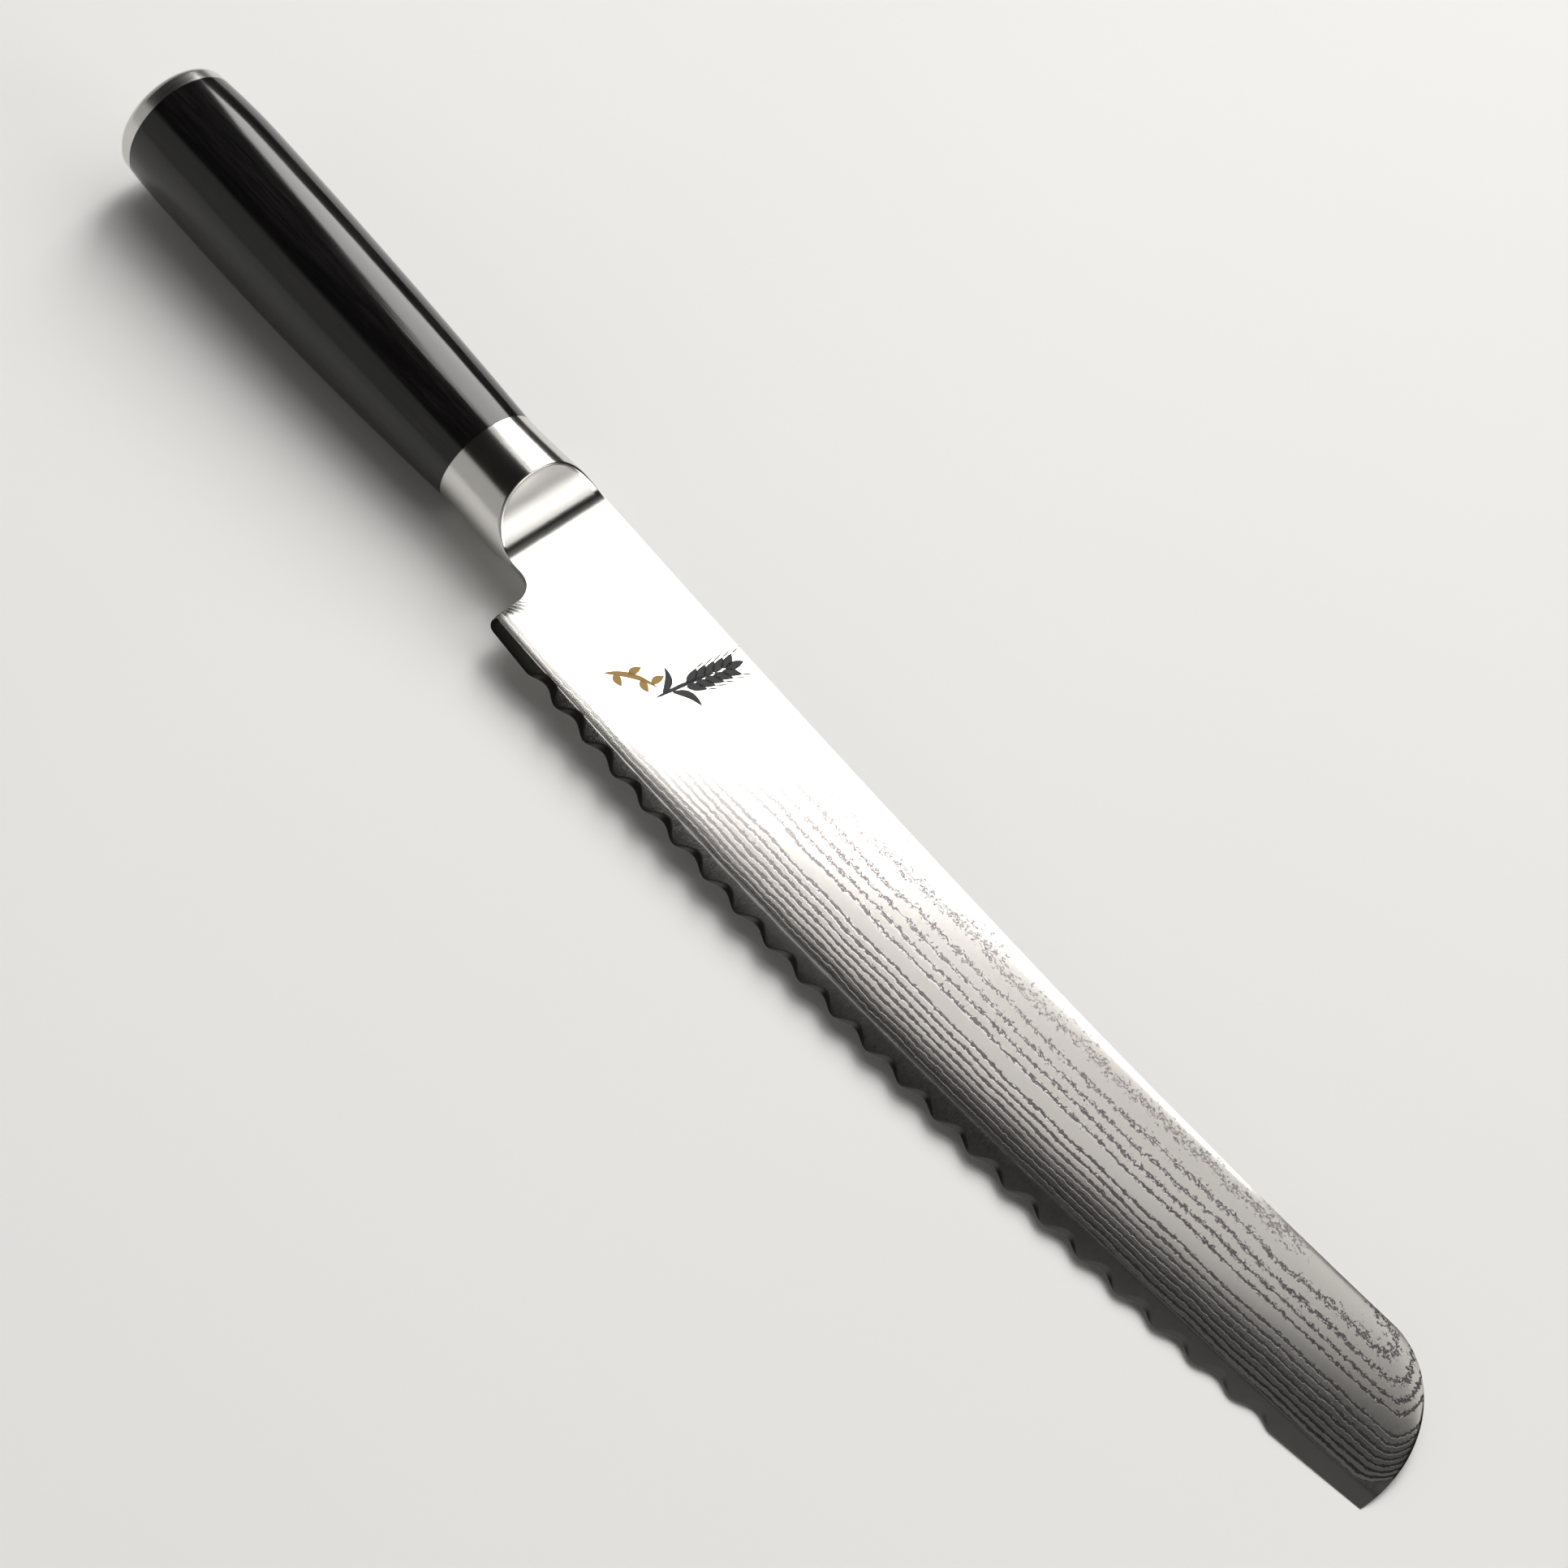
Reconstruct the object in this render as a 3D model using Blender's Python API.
"""Bread knife with a serrated, layered blade, lying on its left side.

The knife frame has +X along the grip axis towards the tip, +Y towards the spine and +Z out of the
blade's right face. Its origin is on the grip axis, where the grip meets the bolster. Every piece is
built in that frame and hangs from one empty, which sets the knife down on the plane Z = 0.
"""

import math

import bmesh
import bpy
from mathutils import Matrix
from mathutils import Vector

# Seams. Welded and glued faces keep these slits, so that every piece stays a solid of its own.
LAMINATE_SEAM = 0.00002
BUTT_SEAM = 0.00005
SOCKET_CLEARANCE = 0.0003

# Grip, bolster and end cap, along the grip axis.
GRIP_LENGTH = 0.0988
CAP_LENGTH = 0.0042
BOLSTER_LENGTH = 0.0223

# Half sizes of the D section: towards the spine or edge, out to the right, and out to the left.
FERRULE_HALF_HEIGHT = 0.0115
FERRULE_HALF_RIGHT = 0.0107
FERRULE_HALF_LEFT = 0.0107
SWELL_HALF_HEIGHT = 0.0137
SWELL_HALF_RIGHT = 0.0138
SWELL_HALF_LEFT = 0.0118
SWELL_FROM_BUTT = 0.0138
BUTT_TUCK = 0.0005
BUTT_RISE = 0.0008
ROUND_POWER = 2.0
LEFT_SIDE_POWER = 2.6
CAP_EDGE_RADIUS = 0.0018
SECTION_SIDES = 48

# Scoops that thin the bolster down to the blade.
SCOOP_RADIUS = 0.018
SCOOP_FILLET_RADIUS = 0.005
SCOOP_FILLET_TURN = math.radians(37.0)
SCOOP_STEPS = 14

# Blade outline.
NECK_LENGTH = 0.0075
NECK_DEPTH = 0.0120
BLADE_LENGTH = 0.2295
SPINE_WAIST_X = 0.1460
SPINE_WAIST_Y = 0.0107
SPINE_ROOT_RISE = 0.0019
SPINE_NOSE_RISE = 0.0032
NOSE_LENGTH = 0.0193
NOSE_DEPTH = 0.0249
EDGE_LOW_X = 0.1040
EDGE_LOW_Y = -0.02698
EDGE_ARC_RADIUS = 1.07
CHOIL_RADIUS = 0.0045
HEEL_CORNER_RADIUS = 0.0022

# Serrations: shallow scallops between a plain heel and a plain tip.
HEEL_PLAIN = 0.0130
TIP_PLAIN = 0.0202
TOOTH_PITCH = 0.0089
SCALLOP_DEPTH = 0.0018
SCALLOP_SHARE = 0.84
SCALLOP_STEPS = 6

# Blade thickness: flat above the grind line, then a convex grind down to the bared core.
SPINE_THICKNESS = 0.0021
SPINE_THICKNESS_LOSS = 0.0006
CORE_THICKNESS = 0.0007
CLADDING_LIP = 0.00007
BEVEL_THICKNESS = 0.0004
EDGE_THICKNESS = 0.00012
GRIND_LINE_Y = 0.0040
GRIND_POWER = 1.7
CORE_LINE_LOW_X = 0.0720
CORE_LINE_LOW_Y = -0.0226
CORE_LINE_ARC_RADIUS = 1.70

# Hidden tang: a stub of the blade core in the bolster, and a bar through the grip.
STUB_LENGTH = 0.0110
STUB_HEIGHT = 0.0120
TANG_HEIGHT = 0.0085
TANG_THICKNESS = 0.0035
TANG_CHAMFER = 0.0005
TANG_IN_BOLSTER = 0.0080
TANG_IN_CAP = 0.0020
BORE_RADIUS = 0.0065

# How far the knife rolls towards its edge when it lies still on its left side.
REST_ROLL = math.radians(6.7)

# Places that follow from the sizes above.
BLADE_ROOT_X = BOLSTER_LENGTH + BUTT_SEAM
HEEL_X = BOLSTER_LENGTH + NECK_LENGTH
NOSE_X = HEEL_X + BLADE_LENGTH
NOSE_CENTRE_X = NOSE_X - NOSE_LENGTH
NOSE_CENTRE_Y = SPINE_WAIST_Y + SPINE_NOSE_RISE - NOSE_DEPTH
SWELL_X = -GRIP_LENGTH + SWELL_FROM_BUTT
CAP_FRONT_X = -GRIP_LENGTH - BUTT_SEAM
CAP_END_X = CAP_FRONT_X - CAP_LENGTH


def clear_scene():
    for obj in list(bpy.data.objects):
        bpy.data.objects.remove(obj, do_unlink=True)


def make_material(name, colour, roughness, metallic):
    material = bpy.data.materials.new(name)
    material.use_nodes = True
    shader = material.node_tree.nodes["Principled BSDF"]
    shader.inputs["Base Color"].default_value = (*colour, 1.0)
    shader.inputs["Roughness"].default_value = roughness
    shader.inputs["Metallic"].default_value = metallic
    material.diffuse_color = (*colour, 1.0)
    return material


def add_object(name, bm, parent=None, material=None, crease=math.radians(40.0)):
    """Turns a bmesh into an object with outward normals, smooth apart from its sharp edges."""
    bmesh.ops.recalc_face_normals(bm, faces=bm.faces[:])
    mesh = bpy.data.meshes.new(name)
    bm.to_mesh(mesh)
    bm.free()
    mesh.shade_smooth()
    mesh.set_sharp_from_angle(angle=crease)
    obj = bpy.data.objects.new(name, mesh)
    bpy.context.scene.collection.objects.link(obj)
    obj.parent = parent
    if material is not None:
        mesh.materials.append(material)
    return obj


def cut(obj, cutter):
    """Subtracts a hidden cutter, which moves with the piece that it cuts."""
    cutter.parent = obj.parent
    cutter.hide_render = True
    cutter.display_type = "WIRE"
    modifier = obj.modifiers.new("cut_" + cutter.name, "BOOLEAN")
    modifier.operation = "DIFFERENCE"
    modifier.solver = "EXACT"
    modifier.object = cutter


def box(low, high):
    bm = bmesh.new()
    size = Vector(high) - Vector(low)
    centre = (Vector(high) + Vector(low)) / 2.0
    placing = Matrix.Translation(centre) @ Matrix.Diagonal((*size, 1.0))
    bmesh.ops.create_cube(bm, size=1.0, matrix=placing)
    return bm


def loft(rings):
    """A closed solid through rings of equally many points, with a flat cap at each end."""
    bm = bmesh.new()
    loops = [[bm.verts.new(point) for point in ring] for ring in rings]
    for ring, following in zip(loops, loops[1:]):
        for i in range(len(ring)):
            j = (i + 1) % len(ring)
            bm.faces.new((ring[i], ring[j], following[j], following[i]))
    bm.faces.new(loops[0])
    bm.faces.new(reversed(loops[-1]))
    return bm


def ease(t):
    t = min(max(t, 0.0), 1.0)
    return t * t * (3.0 - 2.0 * t)


# The D section of ferrule, grip and cap.


def signed_power(value, power):
    return math.copysign(abs(value) ** power, value)


def d_section(x, up, down, right, left, left_power=ROUND_POWER, rise=0.0):
    """A ring across the grip axis: elliptic to the right, and flatter to the left if asked."""
    ring = []
    for step in range(SECTION_SIDES):
        angle = math.tau * (step + 0.5) / SECTION_SIDES
        exponent = 2.0 / (left_power if math.sin(angle) < 0.0 else ROUND_POWER)
        along_y = signed_power(math.cos(angle), exponent)
        along_z = signed_power(math.sin(angle), exponent)
        y = along_y * (up if along_y > 0.0 else down)
        z = along_z * (right if along_z > 0.0 else left)
        ring.append((x, y + rise, z))
    return ring


def grip_section(x, inset=0.0):
    """The grip's section at x, which swells from the ferrule and tucks in behind the swell."""
    t = min(x / SWELL_X, 1.0)
    swell = 1.0 - (1.0 - t) ** 2
    tuck = BUTT_TUCK * (max(SWELL_X - x, 0.0) / SWELL_FROM_BUTT) ** 2 + inset
    height = FERRULE_HALF_HEIGHT + (SWELL_HALF_HEIGHT - FERRULE_HALF_HEIGHT) * swell - tuck
    right = FERRULE_HALF_RIGHT + (SWELL_HALF_RIGHT - FERRULE_HALF_RIGHT) * swell - tuck
    left = FERRULE_HALF_LEFT + (SWELL_HALF_LEFT - FERRULE_HALF_LEFT) * swell - tuck
    left_power = ROUND_POWER + (LEFT_SIDE_POWER - ROUND_POWER) * swell
    return d_section(x, height, height, right, left, left_power, BUTT_RISE * t * t)


def tang_cutter(name, from_x, to_x):
    half_height = TANG_HEIGHT / 2.0 + SOCKET_CLEARANCE
    half_thickness = TANG_THICKNESS / 2.0 + SOCKET_CLEARANCE
    low = (from_x, -half_height, -half_thickness)
    high = (to_x, half_height, half_thickness)
    return add_object(name, box(low, high))


def make_grip(parent):
    """A turned and shaped wood grip with a straight bore."""
    stations = 16
    front = -BUTT_SEAM
    back = -GRIP_LENGTH
    xs = [front + (back - front) * i / stations for i in range(stations + 1)]
    wood = make_material("black_resin_wood", (0.012, 0.011, 0.012), 0.16, 0.0)
    grip = add_object("handle_grip", loft([grip_section(x) for x in xs]), parent, wood)
    overrun = 0.005
    reach = GRIP_LENGTH + 2.0 * overrun
    centre = Matrix.Translation((-GRIP_LENGTH / 2.0, 0.0, 0.0))
    bm = bmesh.new()
    bmesh.ops.create_cone(
        bm,
        cap_ends=True,
        segments=32,
        radius1=BORE_RADIUS,
        radius2=BORE_RADIUS,
        depth=reach,
        matrix=centre @ Matrix.Rotation(math.radians(90.0), 4, "Y"),
    )
    cut(grip, add_object("grip_bore", bm))
    return grip


def make_adhesive(parent):
    """The cured adhesive that fills the grip's bore round the tang bar."""
    resin = make_material("cured_adhesive", (0.30, 0.26, 0.18), 0.5, 0.0)
    front = -BUTT_SEAM - SOCKET_CLEARANCE
    back = -GRIP_LENGTH + SOCKET_CLEARANCE
    bm = bmesh.new()
    bmesh.ops.create_cone(
        bm,
        cap_ends=True,
        segments=32,
        radius1=BORE_RADIUS - SOCKET_CLEARANCE,
        radius2=BORE_RADIUS - SOCKET_CLEARANCE,
        depth=front - back,
        matrix=Matrix.Translation(((front + back) / 2.0, 0.0, 0.0))
        @ Matrix.Rotation(math.radians(90.0), 4, "Y"),
    )
    sleeve = add_object("tang_adhesive", bm, parent, resin)
    overrun = 0.005
    cut(sleeve, tang_cutter("adhesive_channel", back - overrun, front + overrun))
    return sleeve


def make_tang(parent):
    """The steel bar that joins bolster and end cap through the grip."""
    steel = make_material("tang_steel", (0.50, 0.50, 0.51), 0.45, 1.0)
    front = TANG_IN_BOLSTER
    back = CAP_FRONT_X - TANG_IN_CAP
    half_height = TANG_HEIGHT / 2.0
    half_thickness = TANG_THICKNESS / 2.0
    low = (back, -half_height, -half_thickness)
    high = (front, half_height, half_thickness)
    tang = add_object("tang_bar", box(low, high), parent, steel)
    bevel = tang.modifiers.new("chamfer", "BEVEL")
    bevel.width = TANG_CHAMFER
    bevel.segments = 1
    return tang


def make_end_cap(parent):
    """A polished steel cap with a rounded rim and a flat end, on the tang's back end."""
    steel = make_material("cap_steel", (0.62, 0.61, 0.60), 0.16, 1.0)
    rings = [grip_section(CAP_FRONT_X)]
    rim_steps = 6
    for step in range(rim_steps + 1):
        turn = math.radians(90.0) * step / rim_steps
        x = CAP_END_X + CAP_EDGE_RADIUS * (1.0 - math.sin(turn))
        rings.append(grip_section(x, CAP_EDGE_RADIUS * (1.0 - math.cos(turn))))
    cap = add_object("end_cap", loft(rings), parent, steel, math.radians(50.0))
    socket_end = CAP_FRONT_X - TANG_IN_CAP - SOCKET_CLEARANCE
    cut(cap, tang_cutter("cap_socket", socket_end, CAP_FRONT_X + 0.002))
    return cap


# Bolster.


def scoop_profile():
    """Points (x, z) of one scoop, from the blade's face up past the ferrule's side."""
    floor = SPINE_THICKNESS / 2.0
    points = []
    for step in range(SCOOP_STEPS // 2 + 1):
        turn = SCOOP_FILLET_TURN * step / (SCOOP_STEPS // 2)
        x = BOLSTER_LENGTH - SCOOP_FILLET_RADIUS * math.sin(turn)
        z = floor + SCOOP_FILLET_RADIUS * (1.0 - math.cos(turn))
        points.append((x, z))
    start_x, start_z = points[-1]
    centre_x = start_x + SCOOP_RADIUS * math.sin(SCOOP_FILLET_TURN)
    centre_z = start_z + SCOOP_RADIUS * math.cos(SCOOP_FILLET_TURN)
    above = max(FERRULE_HALF_RIGHT, FERRULE_HALF_LEFT) + 0.001
    last_turn = math.acos((centre_z - above) / SCOOP_RADIUS)
    for step in range(1, SCOOP_STEPS + 1):
        turn = SCOOP_FILLET_TURN + (last_turn - SCOOP_FILLET_TURN) * step / SCOOP_STEPS
        x = centre_x - SCOOP_RADIUS * math.sin(turn)
        z = centre_z - SCOOP_RADIUS * math.cos(turn)
        points.append((x, z))
    return points


def scoop_cutter(name, side):
    overrun = 0.01
    profile = scoop_profile()
    floor = profile[0][1]
    top = profile[-1][1] + overrun
    outline = [(BOLSTER_LENGTH + overrun, floor)] + profile
    outline += [(profile[-1][0], top), (BOLSTER_LENGTH + overrun, top)]
    reach = max(NECK_DEPTH, SPINE_WAIST_Y + SPINE_ROOT_RISE) + overrun
    rings = [[(x, y, side * z) for x, z in outline] for y in (-reach, reach)]
    return add_object(name, loft(rings))


def make_bolster(parent):
    """Ferrule and blade seat in one steel piece, scooped on both sides down to the blade."""
    steel = make_material("bolster_steel", (0.62, 0.61, 0.60), 0.14, 1.0)
    stations = 6
    rings = []
    for station in range(stations + 1):
        t = station / stations
        flare = ease(t)
        up = FERRULE_HALF_HEIGHT + (spine_y(BOLSTER_LENGTH) - FERRULE_HALF_HEIGHT) * flare
        down = FERRULE_HALF_HEIGHT + (NECK_DEPTH - FERRULE_HALF_HEIGHT) * flare
        x = BOLSTER_LENGTH * t
        rings.append(d_section(x, up, down, FERRULE_HALF_RIGHT, FERRULE_HALF_LEFT))
    bolster = add_object("bolster", loft(rings), parent, steel)
    cut(bolster, scoop_cutter("scoop_right", 1.0))
    cut(bolster, scoop_cutter("scoop_left", -1.0))
    socket_end = TANG_IN_BOLSTER + SOCKET_CLEARANCE
    cut(bolster, tang_cutter("bolster_socket", -0.002, socket_end))
    slot_back = BOLSTER_LENGTH - STUB_LENGTH - SOCKET_CLEARANCE
    half_height = STUB_HEIGHT / 2.0 + SOCKET_CLEARANCE
    half_gap = CORE_THICKNESS / 2.0 + LAMINATE_SEAM
    low = (slot_back, -half_height, -half_gap)
    high = (BOLSTER_LENGTH + 0.002, half_height, half_gap)
    cut(bolster, add_object("stub_slot", box(low, high)))
    return bolster


# Blade outline, seen from the right.


def spine_y(x):
    """The spine dips a little between the bolster and the nose."""
    if x < SPINE_WAIST_X:
        t = (SPINE_WAIST_X - x) / (SPINE_WAIST_X - BOLSTER_LENGTH)
        return SPINE_WAIST_Y + SPINE_ROOT_RISE * t * t
    t = (x - SPINE_WAIST_X) / (NOSE_CENTRE_X - SPINE_WAIST_X)
    return SPINE_WAIST_Y + SPINE_NOSE_RISE * t * t


def edge_y(x):
    return EDGE_LOW_Y + (x - EDGE_LOW_X) ** 2 / (2.0 * EDGE_ARC_RADIUS)


def core_line_y(x):
    """Where the cladding ends and the bared core begins."""
    return CORE_LINE_LOW_Y + (x - CORE_LINE_LOW_X) ** 2 / (2.0 * CORE_LINE_ARC_RADIUS)


def nose_point(turn):
    """A point of the nose: 0 is its foremost point, and a right angle is where the spine ends."""
    x = NOSE_CENTRE_X + NOSE_LENGTH * math.cos(turn)
    y = NOSE_CENTRE_Y + NOSE_DEPTH * math.sin(turn)
    return x, y


def nose_meets(line):
    """The turn at which the nose curve meets a line that crosses it from heel to tip."""
    turn = 0.0
    for _ in range(30):
        x, _y = nose_point(turn)
        turn = math.asin((line(x) - NOSE_CENTRE_Y) / NOSE_DEPTH)
    return turn


def spine_points(steps=20):
    start = BLADE_ROOT_X
    xs = [start + (NOSE_CENTRE_X - start) * i / steps for i in range(steps + 1)]
    return [(x, spine_y(x)) for x in xs]


def nose_points(last_turn, steps=12):
    first_turn = math.radians(90.0)
    turns = [first_turn + (last_turn - first_turn) * i / steps for i in range(1, steps + 1)]
    return [nose_point(turn) for turn in turns]


def choil_points(steps=6):
    """From the heel's straight back up round the choil to the neck's underside."""
    centre_x = HEEL_X - CHOIL_RADIUS
    centre_y = -NECK_DEPTH - CHOIL_RADIUS
    points = []
    for i in range(steps + 1):
        turn = math.radians(90.0) * i / steps
        x = centre_x + CHOIL_RADIUS * math.cos(turn)
        y = centre_y + CHOIL_RADIUS * math.sin(turn)
        points.append((x, y))
    return points


def face_half_thickness(x, y):
    """Half the blade's thickness above the core line, at one point of its side."""
    along = (x - BLADE_ROOT_X) / (NOSE_X - BLADE_ROOT_X)
    flat = (SPINE_THICKNESS - SPINE_THICKNESS_LOSS * along) / 2.0
    if y >= GRIND_LINE_Y:
        return flat
    thinnest = CORE_THICKNESS / 2.0 + LAMINATE_SEAM + CLADDING_LIP
    down = min((GRIND_LINE_Y - y) / (GRIND_LINE_Y - core_line_y(x)), 1.0)
    fade = ease((x - BLADE_ROOT_X) / (HEEL_X - BLADE_ROOT_X))
    return flat - fade * (flat - thinnest) * down**GRIND_POWER


def gridded_face(outline, x_step, ys):
    """One flat face with this outline, split along lines of constant x and y into triangles."""
    bm = bmesh.new()
    bm.faces.new([bm.verts.new((x, y, 0.0)) for x, y in outline])
    x = BLADE_ROOT_X + x_step
    while x < NOSE_X:
        geometry = bm.verts[:] + bm.edges[:] + bm.faces[:]
        bmesh.ops.bisect_plane(bm, geom=geometry, dist=1e-6, plane_co=(x, 0, 0), plane_no=(1, 0, 0))
        x += x_step
    for y in ys:
        geometry = bm.verts[:] + bm.edges[:] + bm.faces[:]
        bmesh.ops.bisect_plane(bm, geom=geometry, dist=1e-6, plane_co=(0, y, 0), plane_no=(0, 1, 0))
    bmesh.ops.triangulate(bm, faces=bm.faces[:])
    return bm


def make_cladding(name, side, parent, material):
    """One layered steel sheet of the blade, welded to a side of the core and ground convex."""
    core_end = nose_meets(core_line_y)
    steps = 24
    end_x, _end_y = nose_point(core_end)
    core_xs = [end_x + (HEEL_X - end_x) * i / steps for i in range(1, steps + 1)]
    outline = spine_points() + nose_points(core_end)
    outline += [(x, core_line_y(x)) for x in core_xs]
    outline += choil_points()
    outline.append((BLADE_ROOT_X, -NECK_DEPTH))
    row_height = 0.0055
    rows = 4
    ys = [GRIND_LINE_Y - row_height * row for row in range(rows + 1)]
    bm = gridded_face(outline, 0.012, ys)
    inner = CORE_THICKNESS / 2.0 + LAMINATE_SEAM
    extruded = bmesh.ops.extrude_face_region(bm, geom=bm.faces[:])
    outer_verts = {item for item in extruded["geom"] if isinstance(item, bmesh.types.BMVert)}
    for vert in bm.verts:
        if vert in outer_verts:
            vert.co.z = side * face_half_thickness(vert.co.x, vert.co.y)
        else:
            vert.co.z = side * inner
    return add_object(name, bm, parent, material, math.radians(25.0))


# Core and its serrated edge.


def scallop(x):
    """How far the edge is cut back at x."""
    first = HEEL_X + HEEL_PLAIN
    span = BLADE_LENGTH - HEEL_PLAIN - TIP_PLAIN
    pitch = span / round(span / TOOTH_PITCH)
    if not first < x < first + span:
        return 0.0
    across = ((x - first) / pitch) % 1.0 - 0.5
    return SCALLOP_DEPTH * max(1.0 - (2.0 * across / SCALLOP_SHARE) ** 2, 0.0)


def edge_stations():
    """The x of every column of the edge strip, closer together on the scallops and the corner."""
    xs = []
    corner_steps = 4
    for i in range(corner_steps + 1):
        turn = math.radians(90.0) * i / corner_steps
        xs.append(HEEL_X + HEEL_CORNER_RADIUS * (1.0 - math.cos(turn)))
    first = HEEL_X + HEEL_PLAIN
    span = BLADE_LENGTH - HEEL_PLAIN - TIP_PLAIN
    count = round(span / TOOTH_PITCH)
    pitch = span / count
    margin = (1.0 - SCALLOP_SHARE) / 2.0
    for tooth in range(count):
        start = first + pitch * (tooth + margin)
        for i in range(SCALLOP_STEPS + 1):
            xs.append(start + pitch * SCALLOP_SHARE * i / SCALLOP_STEPS)
    tip_x, _tip_y = nose_point(nose_meets(edge_y))
    last = xs[-1]
    tip_steps = 4
    xs += [last + (tip_x - last) * i / tip_steps for i in range(1, tip_steps)]
    return xs


def edge_column(x):
    """Three points down one column of the strip: core line, top of the bevel, and edge."""
    low = edge_y(x) + scallop(x)
    if x < HEEL_X + HEEL_CORNER_RADIUS:
        inward = (HEEL_X + HEEL_CORNER_RADIUS - x) / HEEL_CORNER_RADIUS
        low += HEEL_CORNER_RADIUS * (1.0 - math.sqrt(max(1.0 - inward * inward, 0.0)))
    top = core_line_y(x) - LAMINATE_SEAM
    bevel = min(edge_y(x) + SCALLOP_DEPTH + 0.0008, top - 0.0002)
    bevel = low + (top - low) * 0.5 if bevel < low + 0.0001 else bevel
    return (x, top), (x, bevel), (x, low)


def tip_column():
    """The strip's last column follows the nose curve from the core line down to the tip."""
    high = nose_meets(core_line_y)
    low = nose_meets(edge_y)
    return nose_point(high), nose_point((high + low) / 2.0), nose_point(low)


def make_core(parent):
    """The hard steel core: a flat sheet between the claddings, bared and ground at the edge."""
    steel = make_material("core_steel", (0.50, 0.50, 0.50), 0.25, 1.0)
    columns = [edge_column(x) for x in edge_stations()] + [tip_column()]
    halves = (CORE_THICKNESS / 2.0, BEVEL_THICKNESS / 2.0, EDGE_THICKNESS / 2.0)
    stub_top = STUB_HEIGHT / 2.0
    stub_back = BOLSTER_LENGTH - STUB_LENGTH
    sheet = spine_points() + nose_points(nose_meets(core_line_y))[:-1]
    tail = choil_points()
    tail += [(BLADE_ROOT_X, -NECK_DEPTH), (BLADE_ROOT_X, -stub_top), (stub_back, -stub_top)]
    tail += [(stub_back, stub_top), (BLADE_ROOT_X, stub_top)]
    bm = bmesh.new()
    rims = []
    for side in (1.0, -1.0):
        grid = [
            [bm.verts.new((x, y, side * half)) for (x, y), half in zip(column, halves)]
            for column in columns
        ]
        before = [bm.verts.new((x, y, side * halves[0])) for x, y in sheet]
        after = [bm.verts.new((x, y, side * halves[0])) for x, y in tail]
        core_row = [column[0] for column in reversed(grid)]
        bm.faces.new(before + core_row + after)
        for column, following in zip(grid, grid[1:]):
            for row in range(len(halves) - 1):
                corners = (column[row], following[row], following[row + 1], column[row + 1])
                bm.faces.new(corners)
        edge_row = [column[-1] for column in grid]
        tip_column_down = grid[-1][:-1]
        heel_column_up = list(reversed(grid[0][:-1]))
        rims.append(before + tip_column_down + list(reversed(edge_row)) + heel_column_up + after)
    right, left = rims
    for i in range(len(right)):
        j = (i + 1) % len(right)
        bm.faces.new((right[i], right[j], left[j], left[i]))
    bmesh.ops.triangulate(bm, faces=[face for face in bm.faces if len(face.verts) > 4])
    return add_object("blade_core", bm, parent, steel, math.radians(25.0))


def points_of(pieces):
    """Every corner of these pieces in the knife frame, after their cuts."""
    bpy.context.view_layer.update()
    graph = bpy.context.evaluated_depsgraph_get()
    return [vert.co.copy() for piece in pieces for vert in piece.evaluated_get(graph).data.vertices]


def set_down(knife, rear, blade):
    """Lays the knife on its left side, touching Z = 0 with its grip and with its blade's tip.

    The roll is given. The pitch follows: it is the one that brings both ends down together.
    """
    rear_points = points_of(rear)
    blade_points = points_of(blade)
    roll = Matrix.Rotation(REST_ROLL, 4, "X")
    low_pitch = math.radians(-2.0)
    high_pitch = math.radians(8.0)
    for _ in range(40):
        pitch = (low_pitch + high_pitch) / 2.0
        attitude = Matrix.Rotation(pitch, 4, "Y") @ roll
        rear_low = min((attitude @ point).z for point in rear_points)
        blade_low = min((attitude @ point).z for point in blade_points)
        if blade_low > rear_low:
            low_pitch = pitch
        else:
            high_pitch = pitch
    placed = [attitude @ point for point in rear_points + blade_points]
    lows = [min(point[axis] for point in placed) for axis in range(3)]
    highs = [max(point[axis] for point in placed) for axis in range(3)]
    knife.rotation_euler = (REST_ROLL, pitch, 0.0)
    knife.location = (-(lows[0] + highs[0]) / 2.0, -(lows[1] + highs[1]) / 2.0, -lows[2])


def main():
    clear_scene()
    knife = bpy.data.objects.new("knife_frame", None)
    bpy.context.scene.collection.objects.link(knife)
    layered = make_material("layered_steel", (0.58, 0.57, 0.56), 0.28, 1.0)
    core = make_core(knife)
    right = make_cladding("cladding_right", 1.0, knife, layered)
    left = make_cladding("cladding_left", -1.0, knife, layered)
    bolster = make_bolster(knife)
    make_tang(knife)
    make_adhesive(knife)
    grip = make_grip(knife)
    cap = make_end_cap(knife)
    set_down(knife, [bolster, grip, cap], [core, right, left])


main()
